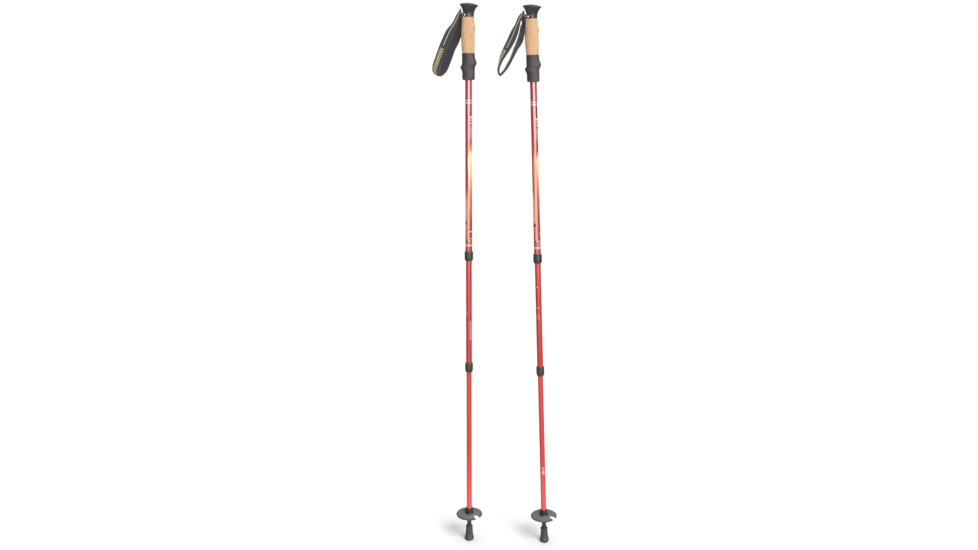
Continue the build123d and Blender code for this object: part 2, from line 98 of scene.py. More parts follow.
# Colours of the lacquers and their print, and how strongly the clear coat mirrors.
UPPER_RED = (0.37, 0.036, 0.050)
MIDDLE_RED = (0.50, 0.030, 0.032)
LOWER_RED = (0.60, 0.036, 0.034)
# Painted light: a paler red for the lower tubes near the floor, standing in for light bounced off the floor.
PAINTED_FLOOR_LIGHT_RED = (0.82, 0.076, 0.070)
PRINT_WHITE = (0.92, 0.80, 0.77)
PRINT_CREAM = (0.90, 0.66, 0.50)
PRINT_YELLOW = (0.95, 0.58, 0.16)
GLOSS = 2.0
# The studio: how bright each mirrored panel is, the sky for plain surfaces and the soft key light.
PANEL = 6.2
PANEL_COLOUR = (1.0, 0.91, 0.80)
PANEL_TURN = 0.17
PANEL_HALF = 0.64
PANEL_SLANT = 1.4
LOW_PANEL = 0.15
BACK_PANEL = 0.5
SKY = 0.80
KEY_POWER = 2.0
KEY_SPREAD = 26.0
KEY_FROM = (0.36, -0.52, 0.60)
# The camera: its lens, its place in metres, how far its lens is shifted down and its slight roll.
CAMERA_LENS = 36.9
SENSOR = 36.0
CAMERA_PLACE = Vector((0.0487, -2.372, 1.264))
CAMERA_SHIFT = -0.2764
CAMERA_ROLL = math.radians(0.1)


# ---------------------------------------------------------------- places, read from the frame
def pole_matrix(side):
    """Turns a pole's own millimetres into the frame's metres."""
    foot = next(mount for mount in frame["record"]["mounts"] if mount["name"] == f"{side}_foot")
    up = -Vector(foot["axis"]).normalized()
    across = Vector((0, 1, 0))
    turn = Matrix((across.cross(up), across, up)).transposed().to_4x4()
    return Matrix.Translation(foot["pos_m"]) @ turn @ Matrix.Scale(MM, 4)


POLE = {side: pole_matrix(side) for side in SIDES}


def own_points(node):
    """A CAD node's points in its pole's own millimetres."""
    back = POLE[node.split("_")[0]].inverted()
    return [back @ vertex.co for vertex in frame["nodes"][node].data.vertices]


def span(node):
    """The lowest and highest points of a CAD node along its pole's shaft."""
    heights = [point.z for point in own_points(node)]
    return min(heights), max(heights)


def own_hinge(side, joint):
    """A joint's place in its pole's own millimetres."""
    found = next(each for each in frame["joints"] if each["name"] == f"{side}_{joint}")
    return POLE[side].inverted() @ Vector(found["pos_m"])


# ---------------------------------------------------------------- arithmetic on material nodes
class Term:
    """A number, colour or vector that a material works out at each point; arithmetic on it adds nodes."""

    def __init__(self, tree, socket):
        self.tree = tree
        self.socket = socket

    def math(self, operation, *others):
        return make(self.tree, "Math", dict(enumerate((self, *others))), operation=operation)

    def __add__(self, other):
        return self.math("ADD", other)

    def __radd__(self, other):
        return self.math("ADD", other)

    def __sub__(self, other):
        return self.math("SUBTRACT", other)

    def __rsub__(self, other):
        return self.math("MULTIPLY", -1.0).math("ADD", other)

    def __mul__(self, other):
        return self.math("MULTIPLY", other)

    def __rmul__(self, other):
        return self.math("MULTIPLY", other)

    def __truediv__(self, other):
        return self.math("DIVIDE", other)

    def abs(self):
        return self.math("ABSOLUTE")

    def above(self, level, soft=0.01):
        """1 where the value is above a level, 0 below it, with a soft step of the given width."""
        low, high = level - soft / 2, level + soft / 2
        inputs = {0: self, 1: low, 2: high, 3: 0.0, 4: 1.0}
        return make(self.tree, "MapRange", inputs, interpolation_type="SMOOTHSTEP", clamp=True)

    def within(self, centre, half, soft=0.3):
        """1 inside a band of the given centre and half width, 0 outside it."""
        return 1.0 - (self - centre).abs().above(half, soft)


def plug(tree, value, slot):
    """Feeds a term or a plain value into a node's input."""
    if isinstance(value, Term):
        tree.links.new(value.socket, slot)
    elif isinstance(value, tuple) and len(value) == 3 and slot.type == "RGBA":
        slot.default_value = (*value, 1.0)
    else:
        slot.default_value = value


def make(tree, kind, inputs, output=0, **settings):
    """Adds a shader node, sets it up and returns one of its outputs as a term."""
    node = tree.nodes.new("ShaderNode" + kind)
    for name, value in settings.items():
        setattr(node, name, value)
    for key, value in inputs.items():
        plug(tree, value, node.inputs[key])
    return Term(tree, node.outputs[output])


class Finish:
    """One procedural material in the making."""

    def __init__(self, name):
        self.material = bpy.data.materials.new(name)
        self.material.use_nodes = True
        self.tree = self.material.node_tree
        self.shader = self.tree.nodes["Principled BSDF"]

    def add(self, kind, inputs, output=0, **settings):
        return make(self.tree, kind, inputs, output, **settings)

    def place(self):
        """The point in millimetres of the frame's axes, which keeps grain the same size on every piece."""
        point = self.add("TexCoord", {}, "Object")
        return self.add("VectorMath", {0: point, "Scale": 1 / MM}, operation="SCALE")

    def own_place(self, side, rise=0.0):
        """The point in the pole's own millimetres, measured from a height along the shaft."""
        point = self.add("TexCoord", {}, "Object")
        matrix = POLE[side] @ Matrix.Translation((0, 0, rise))
        inputs = {0: point, 1: matrix.translation, 2: Vector(matrix.to_euler()), 3: matrix.to_scale()}
        return self.add("Mapping", inputs, vector_type="TEXTURE")

    def flat_place(self):
        """Across and along a strap, in millimetres, from its flat map."""
        point = self.add("UVMap", {}, uv_map="flat")
        return self.add("VectorMath", {0: point, "Scale": 1 / MM}, operation="SCALE")

    def split(self, vector):
        node = self.tree.nodes.new("ShaderNodeSeparateXYZ")
        plug(self.tree, vector, node.inputs[0])
        return [Term(self.tree, output) for output in node.outputs]

    def join(self, x, y, z):
        return self.add("CombineXYZ", {0: x, 1: y, 2: z})

    def noise(self, vector, scale, detail=2.0, roughness=0.5):
        inputs = {"Vector": vector, "Scale": scale, "Detail": detail, "Roughness": roughness}
        return self.add("TexNoise", inputs, "Fac", normalize=True)

    def cells(self, vector, scale, output="Distance", feature="F1"):
        inputs = {"Vector": vector, "Scale": scale}
        return self.add("TexVoronoi", inputs, output, feature=feature)

    def mix(self, share, first, second):
        inputs = {"Factor": share, 6: first, 7: second}
        return self.add("Mix", inputs, 2, data_type="RGBA", clamp_factor=True)

    def facing(self):
        """0 where the surface faces the eye and 1 at its outline."""
        return self.add("LayerWeight", {"Blend": 0.5}, "Facing")

    def bump(self, height, depth, before=None):
        """Raises the surface by a height term times a depth in millimetres."""
        inputs = {"Strength": 1.0, "Distance": depth * MM, "Height": height}
        if before:
            inputs["Normal"] = before
        return self.add("Bump", inputs)

    def done(self, **values):
        for name, value in values.items():
            plug(self.tree, value, self.shader.inputs[name.replace("_", " ")])
        return self.material


def paint(node, material):
    """Gives a CAD node's own object a material."""
    slots = frame["nodes"][node].data.materials
    slots.clear()
    slots.append(material)


# ---------------------------------------------------------------- materials
def moulded(name, colour, roughness, grain=0.5, depth=0.02, light=1.35):
    """Moulded plastic or rubber: fine stipple, faint flow marks and lighter worn patches."""
    finish = Finish(name)
    point = finish.place()
    stipple = finish.noise(point, 1 / grain, 3.0, 0.6)
    flow = finish.noise(point, 0.07, 4.0, 0.55)
    worn = finish.noise(point, 0.35, 5.0, 0.7).above(0.60, 0.18)
    pale = tuple(min(1.0, part * light) for part in colour)
    dark = tuple(part / light for part in colour)
    shade = finish.mix(flow.above(0.5, 0.5), dark, pale)
    shade = finish.mix(worn * 0.35, shade, tuple(min(1.0, part * 1.7) for part in colour))
    rough = roughness + (stipple - 0.5) * 0.18 + worn * 0.06
    return finish.done(Base_Color=shade, Roughness=rough, Normal=finish.bump(stipple, depth))


def metal(name, colour, roughness, grain=(0.3, 0.3, 8.0)):
    """Bare turned metal, with fine tool marks round its axis."""
    finish = Finish(name)
    stretched = finish.add("VectorMath", {0: finish.place(), 1: grain}, operation="MULTIPLY")
    marks = finish.noise(stretched, 1.0, 3.0, 0.6)
    shade = finish.mix(marks * 0.5, colour, tuple(part * 0.6 for part in colour))
    return finish.done(
        Base_Color=shade, Metallic=1.0, Roughness=roughness + marks * 0.15, Normal=finish.bump(marks, 0.01)
    )


def cork():
    """Pressed cork: granules of mixed browns with dark seams, a few dark flecks and pits."""
    finish = Finish("cork")
    point = finish.place()
    wobble = finish.add("TexNoise", {"Vector": point, "Scale": 0.5, "Detail": 2.0}, "Color")
    shifted = finish.add("VectorMath", {0: point, 1: wobble}, operation="ADD")
    tint = finish.cells(shifted, 0.42, "Color")
    seam = finish.cells(shifted, 0.42, "Distance", "DISTANCE_TO_EDGE")
    fine = finish.noise(point, 1.6, 4.0, 0.65)
    broad = finish.noise(point, 0.05, 2.0, 0.5)
    red, green, blue = finish.split(tint)
    shade = finish.mix(red, (0.60, 0.355, 0.195), (0.69, 0.44, 0.26))
    shade = finish.mix(green.above(0.86, 0.06) * 0.55, shade, (0.40, 0.20, 0.09))
    shade = finish.mix(fine.above(0.62, 0.2) * 0.45, shade, (0.54, 0.30, 0.155))
    shade = finish.mix(broad.above(0.5, 0.4) * 0.25, shade, (0.76, 0.50, 0.31))
    crack = 1.0 - seam.above(0.05, 0.09)
    shade = finish.mix(crack * 0.55, shade, (0.34, 0.17, 0.075))
    pits = finish.cells(point, 0.30, "Distance").above(0.11, 0.05)
    shade = finish.mix((1.0 - pits) * blue.above(0.45, 0.05) * 0.8, shade, (0.20, 0.095, 0.04))
    relief = fine * 0.35 + seam.above(0.06, 0.12) * 0.5 + pits * 0.4
    return finish.done(Base_Color=shade, Roughness=0.72 + fine * 0.15, Normal=finish.bump(relief, 0.16))


def woven(finish, across, along, thread):
    """Height of a plain weave with threads of the given width, in millimetres."""
    warp = (across * (math.pi / thread)).math("SINE")
    weft = (along * (math.pi / thread)).math("SINE")
    return (warp * weft).abs().math("POWER", 0.6)


def webbing():
    """Black woven tape: ribbed weave, a pale centre stripe and a woven block of chevrons near the loop's foot."""
    finish = Finish("webbing")
    across, along, _ = finish.split(finish.flat_place())
    weave = woven(finish, across, along + across.abs() * 0.6, 0.8)
    fuzz = finish.noise(finish.place(), 3.0, 3.0, 0.7)
    shade = finish.mix(fuzz * 0.7, (0.020, 0.019, 0.021), (0.062, 0.060, 0.062))
    on_stripe = across.within(0.0, 1.15, 0.35) * along.above(STRIPE_FROM, 3.0) * (1.0 - along.above(STRIPE_TO, 2.0))
    shade = finish.mix(on_stripe * (0.75 + fuzz * 0.25), shade, (0.86, 0.76, 0.52))
    slanted = (along + across.abs() * 0.9) * (1 / CHEVRON_PITCH)
    bars = slanted.math("FRACT").within(0.5, 0.26, 0.10)
    in_block = along.within((CHEVRON_FROM + CHEVRON_TO) / 2, (CHEVRON_TO - CHEVRON_FROM) / 2)
    edge_line = across.within(-6.0, 0.5, 0.3)
    mark = (bars * across.within(0.4, 5.4, 0.3)).math("MAXIMUM", edge_line) * in_block
    shade = finish.mix(mark * (0.78 + fuzz * 0.22), shade, (0.90, 0.76, 0.34))
    # Painted shade: the low places between the threads are darkened towards black.
    shade = finish.mix((1.0 - weave) * 0.6, shade, (0.008, 0.008, 0.009))
    relief = weave + on_stripe * 0.3 + mark * 0.3
    return finish.done(
        Base_Color=shade, Roughness=0.82, Sheen_Weight=0.25, Sheen_Roughness=0.5, Normal=finish.bump(relief, 0.10)
    )


def lining(name, colour, nap=0.12):
    """Brushed lining cloth: short nap, soft sheen and a slow drift of tone."""
    finish = Finish(name)
    point = finish.place()
    hairs = finish.noise(point, 4.0, 4.0, 0.75)
    drift = finish.noise(point, 0.08, 2.0, 0.5)
    pale = tuple(part * 1.9 for part in colour)
    shade = finish.mix(hairs * 0.6 + (drift - 0.5) * 0.5, colour, pale)
    return finish.done(
        Base_Color=shade, Roughness=0.9, Sheen_Weight=0.45, Sheen_Roughness=0.4, Normal=finish.bump(hairs, nap)
    )


def shell_cloth():
    """The pad's outer cloth: a fine square weave."""
    finish = Finish("pad_cloth")
    across, along, _ = finish.split(finish.flat_place())
    weave = woven(finish, across, along, 0.5)
    fuzz = finish.noise(finish.place(), 2.0, 3.0, 0.6)
    shade = finish.mix(fuzz, (0.030, 0.030, 0.033), (0.075, 0.074, 0.080))
    # Painted shade: the low places between the threads are darkened.
    shade = finish.mix((1.0 - weave) * 0.5, shade, (0.012, 0.012, 0.013))
    return finish.done(
        Base_Color=shade, Roughness=0.8, Sheen_Weight=0.3, Sheen_Roughness=0.5, Normal=finish.bump(weave, 0.07)
    )


def lacquer(finish, colour, shine):
    """Deep gloss colour with a drawn grain and a fine flake under its clear coat."""
    point = finish.place()
    long_grain = finish.add("VectorMath", {0: point, 1: (2.0, 2.0, 0.05)}, operation="MULTIPLY")
    drawn = finish.noise(long_grain, 1.0, 3.0, 0.6)
    drift = finish.noise(point, 0.012, 2.0, 0.5)
    flake = finish.noise(point, 6.0, 2.0, 0.6)
    deep = tuple(part * 0.72 for part in colour)
    shade = finish.mix(drawn * 0.35 + (drift - 0.5) * 0.5, colour, deep)
    relief = finish.bump(drawn, 0.004)
    return shade, shine + (flake - 0.5) * 0.08, relief


def lacquered(finish, shade, rough, relief, depth):
    """Finishes a tube: colour under a clear coat whose depth sets how brightly it mirrors."""
    return finish.done(
        Base_Color=shade, Roughness=rough, IOR=depth, Normal=relief, Coat_Weight=0.3, Coat_Roughness=0.05
    )


def print_and_painted_light_on(finish, shade, share, colour):
    """Lays printed ink over the lacquer; on the upper tube it also lays a painted highlight."""
    return finish.mix(share, shade, colour)


def tube_marks(side, node):
    """Starts a tube's material: its own place as arc round the tube and height along the left pole."""
    finish = Finish(f"{side}_{node}_lacquer")
    rise = span(f"{side}_{node}")[0] - span(f"left_{node}")[0]
    x, y, height = finish.split(finish.own_place(side, rise))
    angle = x.math("ARCTAN2", y * -1.0)
    return finish, angle, height


def tiles(finish, angle, height, low, high, rows, wide, seed):
    """Small printed blocks in rows between two heights, with some left out."""
    step = (height - low) * (rows / (high - low))
    column = angle * (1 / wide)
    inputs = {"Vector": finish.join(column.math("FLOOR"), step.math("FLOOR"), seed)}
    chance = finish.add("TexWhiteNoise", inputs, "Value", noise_dimensions="3D")
    block = column.math("FRACT").within(0.5, 0.33, 0.18) * step.math("FRACT").within(0.5, 0.30, 0.22)
    return block * height.within((low + high) / 2, (high - low) / 2, 0.4) * chance.above(0.22, 0.1), chance


def upper_lacquer(side):
    """Dark red tube with thin rings, three short bars, a column of strokes, a flame, rows of small blocks and a
    painted peach highlight down its front.
    """
    finish, angle, height = tube_marks(side, "upper_tube")
    turned = angle - FLAME_TURN[side]
    shade, rough, relief = lacquer(finish, UPPER_RED, 0.17)

    rings = height.within(1038.8, 1.1, 0.6) + height.within(1032.2, 1.3, 0.6)
    shade = print_and_painted_light_on(finish, shade, height.within(1035.4, 2.4, 0.8) * 0.5, (0.42, 0.20, 0.20))
    shade = print_and_painted_light_on(finish, shade, rings * 0.55, PRINT_CREAM)
    shade = print_and_painted_light_on(finish, shade, height.within(696.0, 2.3, 0.8) * 0.75, (0.86, 0.50, 0.48))
    short_ring = height.within(728.5, 1.4, 0.6) * turned.within(1.0, 0.75, 0.1)
    shade = print_and_painted_light_on(finish, shade, short_ring * 0.8, (0.95, 0.55, 0.50))

    on_right = angle.within(0.98, 0.62, 0.12)
    bars = (height.within(998.0, 1.9, 0.7) + height.within(991.5, 1.0, 0.6)) * on_right
    lower_bar = height.within(984.0, 1.7, 0.7) * on_right
    shade = print_and_painted_light_on(finish, shade, bars * 0.85, PRINT_WHITE)
    shade = print_and_painted_light_on(finish, shade, lower_bar * 0.85, (0.95, 0.52, 0.26))
    marks, chance = tiles(finish, angle, height, 940.0, 979.0, 9, 0.50, 3.0)
    column = marks * angle.within(0.85, 0.50, 0.08) * (0.5 + chance * 0.5)
    shade = print_and_painted_light_on(finish, shade, column, (0.92, 0.72, 0.70))

    shade = flame(finish, shade, turned, height)
    # Painted highlight: a peach band down the front left of the tube stands in for the clear coat's highlight.
    glow = angle.within(-0.30, 0.42, 0.35) * height.within(PAINTED_HIGHLIGHT_MIDDLE[side], PAINTED_HIGHLIGHT_HALF[side], 40.0)
    shade = print_and_painted_light_on(finish, shade, glow * 0.8, (0.74, 0.27, 0.17))
    shade = tongue(finish, shade, angle + TONGUE_TURN[side], height)

    ground = height.within(705.5, 6.8, 1.2) * turned.above(-1.35, 0.3) * (1.0 - turned.above(1.75, 0.3))
    shade = print_and_painted_light_on(finish, shade, ground * 0.65, (0.16, 0.045, 0.012))
    blocks, chance = tiles(finish, turned, height, 699.5, 710.0, 3, 0.36, 8.0)
    block_row = blocks * turned.within(0.55, 0.85, 0.1) * (0.55 + chance * 0.45)
    shade = print_and_painted_light_on(finish, shade, block_row, PRINT_YELLOW)
    thin_line = height.within(712.0, 0.8, 0.5) * turned.within(0.45, 1.15, 0.1)
    shade = print_and_painted_light_on(finish, shade, thin_line * 0.8, (0.95, 0.50, 0.36))
    return lacquered(finish, shade, rough, relief, GLOSS)


def flame(finish, shade, angle, height):
    """A flame down the right of the tube, pale yellow at its head, then tan, and red at its tail."""
    wave = finish.noise(finish.join(angle * 1.1, height * 0.020, 0.0), 1.0, 3.0, 0.6)
    down = (FLAME_TOP - height) / (FLAME_TOP - FLAME_FOOT)
    grown = down.above(0.10, 0.22)
    left_edge = 0.95 - grown * 1.20 + down.above(0.55, 0.7) * 0.35 + (wave - 0.5) * 0.35
    body = (angle - left_edge).above(0.0, 0.10)
    body = body * (1.0 - angle.above(2.3, 0.2)) * down.above(0.0, 0.03) * (1.0 - down.above(0.97, 0.2))
    hot = finish.mix(down.above(0.03, 0.10), (0.60, 0.10, 0.03), (0.80, 0.30, 0.06))
    hot = finish.mix(down.above(0.12, 0.08), hot, (0.90, 0.76, 0.34))
    hot = finish.mix(down.above(0.26, 0.16), hot, (0.82, 0.60, 0.34))
    hot = finish.mix(down.above(0.44, 0.20), hot, (0.66, 0.33, 0.19))
    hot = finish.mix(down.above(0.60, 0.16), hot, (0.56, 0.15, 0.085))
    hot = finish.mix(down.above(0.86, 0.26), hot, (0.46, 0.070, 0.045))
    shade = print_and_painted_light_on(finish, shade, body * 0.94, hot)
    line = (angle - left_edge).within(0.06, 0.07, 0.08) * down.above(0.10, 0.1) * (1.0 - down.above(0.7, 0.2))
    return print_and_painted_light_on(finish, shade, line * 0.75, (0.42, 0.17, 0.07))


def tongue(finish, shade, angle, height):
    """A tan flame up the tube's left edge, with a dark spot and a small printed patch under it."""
    wave = finish.noise(finish.join(angle * 1.1, height * 0.020, 4.0), 1.0, 3.0, 0.6)
    down = (LEFT_FLAME_TOP - height) / (LEFT_FLAME_TOP - LEFT_FLAME_FOOT)
    right_edge = down.above(0.2, 0.7) * 0.75 - 1.30 + (wave - 0.5) * 0.4
    back_edge = right_edge * -0.6 - 2.9 + down.above(0.0, 0.6) * -0.3
    body = (1.0 - (angle - right_edge).above(0.0, 0.12)) * (angle - back_edge).above(0.0, 0.3)
    body = body * down.above(0.0, 0.12)
    shade = print_and_painted_light_on(finish, shade, body * (1.0 - down.above(0.96, 0.12)) * 0.85, (0.66, 0.40, 0.24))
    at_left = angle.within(-0.95, 0.38, 0.15)
    shade = print_and_painted_light_on(finish, shade, height.within(749.0, 3.2, 1.2) * at_left * 0.9, (0.075, 0.020, 0.012))
    marks, chance = tiles(finish, angle, height, 731.0, 745.0, 5, 0.25, 5.0)
    patch = height.within(738.0, 7.5, 1.0) * at_left
    return print_and_painted_light_on(finish, shade, patch * (0.55 + marks * chance * 0.4), (0.52, 0.26, 0.13))


def middle_lacquer(side):
    """Red tube with length marks down one line, a stop ring below them and, beside it, a column of strokes."""
    finish, angle, height = tube_marks(side, "middle_tube")
    angle = angle - MIDDLE_PRINT_TURN[side]
    shade, rough, relief = lacquer(finish, MIDDLE_RED, 0.20)
    marks = 0.0
    for number in range(2):
        dot_x = angle * 7.0
        rise = height - (LENGTH_MARK - number * LENGTH_STEP)
        marks = (dot_x * dot_x * 0.6 + rise * rise).math("SQRT").within(0.0, 1.3, 0.7) + marks
    across = angle * 7.0
    rise = height - STOP_RING
    reach = (across * across * 1.6 + rise * rise).math("SQRT")
    marks = marks + reach.within(5.2, 0.7, 0.6) * 0.6 + reach.within(0.0, 1.2, 0.8) * 0.5
    strokes, chance = tiles(finish, angle, height, 473.0, 518.0, 15, 0.22, 6.0)
    broad = (height - 495.0).within(0.0, 22.5, 1.0) * (angle - 1.75).within(0.0, 0.34, 0.06)
    marks = marks + broad * (0.30 + strokes * chance * 0.6)
    shade = print_and_painted_light_on(finish, shade, marks * 0.75, (0.92, 0.60, 0.55))
    return lacquered(finish, shade, rough, relief, GLOSS)


def lower_lacquer(side):
    """Bright red tube, with a small pale mark and painted light from the floor that makes it brighter towards its
    foot.
    """
    finish, angle, height = tube_marks(side, "lower_tube")
    shade, rough, relief = lacquer(finish, LOWER_RED, 0.26)
    # Painted light from the floor: the tube turns brighter red towards its foot.
    shade = finish.mix(1.0 - height.above(150.0, 170.0), shade, PAINTED_FLOOR_LIGHT_RED)
    marks, chance = tiles(finish, angle, height, LOWER_MARK - 8.5, LOWER_MARK + 8.5, 5, 0.42, 2.0)
    place = LOWER_PRINT_ANGLE[side]
    mark = marks * angle.within(place, 0.62, 0.08) * (0.4 + chance * 0.6)
    shade = print_and_painted_light_on(finish, shade, mark * 0.9, PRINT_WHITE)
    return lacquered(finish, shade, rough, relief, GLOSS)


def basket_plastic(side):
    """Moulded basket: a dark hub, a paler web with fine radial and round lines, and a dark rim."""
    finish = Finish(f"{side}_basket_plastic")
    x, y, _ = finish.split(finish.own_place(side))
    point = finish.place()
    radius = (x * x + y * y).math("SQRT")
    angle = x.math("ARCTAN2", y)
    stipple = finish.noise(point, 1.4, 3.0, 0.65)
    spokes = (angle * 36.0).math("SINE") * 0.5 + 0.5
    hoops = (radius * (math.tau / 3.2)).math("SINE") * 0.5 + 0.5
    web = finish.mix(stipple * 0.6 + spokes * 0.25 + hoops * 0.25, (0.085, 0.083, 0.084), (0.215, 0.213, 0.214))
    shade = finish.mix(radius.above(27.0, 2.0) * 0.75, web, (0.060, 0.058, 0.060))
    shade = finish.mix(1.0 - radius.above(10.5, 2.0), shade, (0.020, 0.018, 0.019))
    relief = finish.bump(stipple + spokes * 0.5 + hoops * 0.3, 0.06)
    return finish.done(Base_Color=shade, Roughness=0.40 + stipple * 0.12, Normal=relief)


def paint_frame():
    """Gives every CAD node that stays in sight its finish."""
    plain = {
        "grip_cap": moulded("cap_plastic", (0.040, 0.036, 0.039), 0.30, 0.4, 0.012),
        "grip_core": moulded("core_plastic", (0.12, 0.12, 0.12), 0.5),
        "collar": moulded("collar_plastic", (0.034, 0.040, 0.035), 0.30, 0.5, 0.02),
        "lock_plug": moulded("lock_plastic", (0.08, 0.08, 0.085), 0.5),
        "lock_expander": moulded("expander_plastic", (0.75, 0.74, 0.70), 0.45, light=1.08),
        "tip_ferrule": moulded("ferrule_plastic", (0.045, 0.045, 0.046), 0.42),
        "strap_pin": metal("pin_steel", (0.62, 0.62, 0.63), 0.25),
        "lock_screw": metal("screw_steel", (0.60, 0.60, 0.62), 0.28),
        "lock_stop_nut": metal("nut_steel", (0.58, 0.58, 0.60), 0.30),
        "lock_wedge_nut": metal("brass", (0.71, 0.55, 0.25), 0.30),
        "carbide_tip": metal("carbide", (0.38, 0.38, 0.39), 0.35),
        "tip_washer": metal("washer_steel", (0.55, 0.55, 0.57), 0.35),
    }
    for name in frame["nodes"]:
        for ending, material in plain.items():
            if name.endswith(ending):
                paint(name, material)
    for side in SIDES:
        paint(f"{side}_upper_tube", upper_lacquer(side))
        paint(f"{side}_middle_tube", middle_lacquer(side))
        paint(f"{side}_lower_tube", lower_lacquer(side))
        paint(f"{side}_basket", basket_plastic(side))


# ---------------------------------------------------------------- mesh helpers
def build(name, side, points, faces, materials, smooth=True):
    """Makes a mesh object from points in a pole's own millimetres."""
    mesh = bpy.data.meshes.new(name)
    mesh.from_pydata([POLE[side] @ Vector(point) for point in points], [], faces)
    for material in materials:
        mesh.materials.append(material)
    mesh.polygons.foreach_set("use_smooth", [smooth] * len(mesh.polygons))
    mesh.update()
    piece = bpy.data.objects.new(name, mesh)
    bpy.context.scene.collection.objects.link(piece)
    return piece


def skin(rings, closed=False):
    """Quads between neighbouring rings of equal count; closed joins the last ring to the first."""
    count = len(rings[0])
    points = [point for ring in rings for point in ring]
    faces = []
    for row in range(len(rings) if closed else len(rings) - 1):
        start, after = row * count, (row + 1) % len(rings) * count
        for step in range(count):
            turned = (step + 1) % count
            faces.append((start + step, start + turned, after + turned, after + step))
    return points, faces


def capped(points, faces, rings):
    """Closes the first and last rings of a skin with a single face each."""
    count = len(rings[0])
    last = len(points) - count
    return points, faces + [tuple(range(count - 1, -1, -1)), tuple(range(last, last + count))]


def round_ring(radius, height, segments, grow=None):
    """A ring round the shaft; grow adds to the radius by angle."""
    ring = []
    for step in range(segments):
        angle = math.tau * step / segments
        reach = radius + (grow(angle) if grow else 0.0)
        ring.append((reach * math.cos(angle), reach * math.sin(angle), height))
    return ring


def refine(piece, levels):
    """Adds smooth subdivision."""
    modifier = piece.modifiers.new("smooth", "SUBSURF")
    modifier.levels = levels
    modifier.render_levels = levels
    return piece


def ease(value, low, high):
    """0 below low, 1 above high and a smooth step between them."""
    share = min(1.0, max(0.0, (value - low) / (high - low)))
    return share * share * (3 - 2 * share)


# ---------------------------------------------------------------- grip
GRIP_SEGMENTS = 56
GRIP_BORE = 10.6


def grip_profile(node):
    """The grip's back, front and side reach at each height where the CAD solid has a section."""
    sections = {}
    for point in own_points(node):
        sections.setdefault(round(point.z, 1), []).append(point)
    profile = []
    for height, points in sorted(sections.items()):
        back = -min(point.x for point in points)
        front = max(point.x for point in points)
        depth = max(point.y for point in points)
        if min(back, front) > GRIP_BORE + 0.2 and depth > GRIP_BORE + 0.2:
            if not profile or height - profile[-1][0] > 0.25:
                profile.append((height, back, front, depth))
    return profile


def grip_ring(height, back, front, depth, inset=0.0):
    """An egg-shaped section of the grip."""
    ring = []
    for step in range(GRIP_SEGMENTS):
        angle = math.tau * step / GRIP_SEGMENTS
        middle, half = (front - back) / 2, (front + back) / 2 - inset
        ring.append((middle + half * math.cos(angle), (depth - inset) * math.sin(angle), height))
    return ring


def grip_sleeve(side, node, material, edge, levels):
    """A smooth sleeve with softly rounded ends, on the CAD sleeve's own sections."""
    profile = grip_profile(f"{side}_{node}")
    low, high = profile[0], profile[-1]
    rings = [round_ring(GRIP_BORE, low[0] + 0.1, GRIP_SEGMENTS)]
    rings.append(grip_ring(low[0] + 0.05, *low[1:], inset=edge))
    rings.append(grip_ring(low[0] + edge * 0.4, *low[1:], inset=edge * 0.2))
    rings += [grip_ring(*section) for section in profile[1:-1]]
    rings.append(grip_ring(high[0] - edge * 0.4, *high[1:], inset=edge * 0.2))
    rings.append(grip_ring(high[0] - 0.05, *high[1:], inset=edge))
    rings.append(round_ring(GRIP_BORE, high[0] - 0.1, GRIP_SEGMENTS))
    points, faces = skin(rings, closed=True)
    piece = build(f"{side}_{node}_skin", side, points, faces, [material])
    refine(piece, levels)
    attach(piece, f"{side}_upper")
    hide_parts(f"{side}_{node}")
    return piece


# ---------------------------------------------------------------- rubber tip
BOOT_SEGMENTS = 192
BOOT_RIBS = 24
BOOT_NOTCHES = 12


def boot(side, material):
    """The rubber tip: a notched top ring, a ribbed taper, a flared foot and a grooved sole."""
    low, high = span(f"{side}_rubber_tip")
    widest = max(point.x for point in own_points(f"{side}_rubber_tip"))
    bore = 5.15

    def rib(size):
        return lambda angle: size * max(0.0, math.cos(angle * BOOT_RIBS)) ** 0.6

    def notch(size):
        return lambda angle: -size * ease(math.cos(angle * BOOT_NOTCHES), 0.55, 0.85)

    neck = high - 5.2
    outline = [
        (bore, 9.5, None), (bore, high, None), (6.9, high, None), (7.5, high - 0.15, notch(0.5)),
        (8.0, high - 0.8, notch(0.9)), (8.1, high - 1.6, notch(1.0)), (8.1, high - 3.6, notch(1.0)),
        (8.0, high - 4.4, notch(0.6)), (7.45, neck, None), (7.35, neck - 0.5, None),
        (7.45, neck - 1.4, rib(0.12)), (7.5, neck - 2.2, rib(0.34)),
    ]
    for step in range(1, 8):
        share = step / 8
        outline.append((7.5 + 1.1 * share**1.2, neck - 2.2 - (neck - 14.5) * share, rib(0.36)))
    outline += [
        (8.7, 12.0, rib(0.36)), (9.1, 10.4, rib(0.25)), (9.6, 8.6, rib(0.08)), (10.1, 7.0, None),
        (widest - 0.05, 6.0, None), (widest, 4.8, None), (widest - 0.1, 3.2, None), (9.9, 1.8, None),
        (9.2, 0.7, None), (8.4, 0.1, None), (8.0, 0.0, None), (6.9, 0.0, None), (6.6, 1.2, None),
        (5.7, 1.2, None), (5.4, 0.0, None), (3.6, 0.0, None), (3.3, 1.2, None), (2.4, 1.2, None),
        (2.1, 0.0, None), (0.4, 0.0, None),
    ]
    rings = [round_ring(radius, low + height, BOOT_SEGMENTS, grow) for radius, height, grow in outline]
    rings.insert(0, round_ring(0.4, low + 9.5, BOOT_SEGMENTS))
    points, faces = capped(*skin(rings), rings)
    piece = build(f"{side}_rubber_boot", side, points, faces, [material])
    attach(piece, f"{side}_rubber_tip")
    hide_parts(f"{side}_rubber_tip")
    return piece


# ---------------------------------------------------------------- wrist straps
TAPE_HALF = 7.5
TAPE_THICK = 1.25
PAD_THICK = 2.6
HANG = math.radians(20.0)

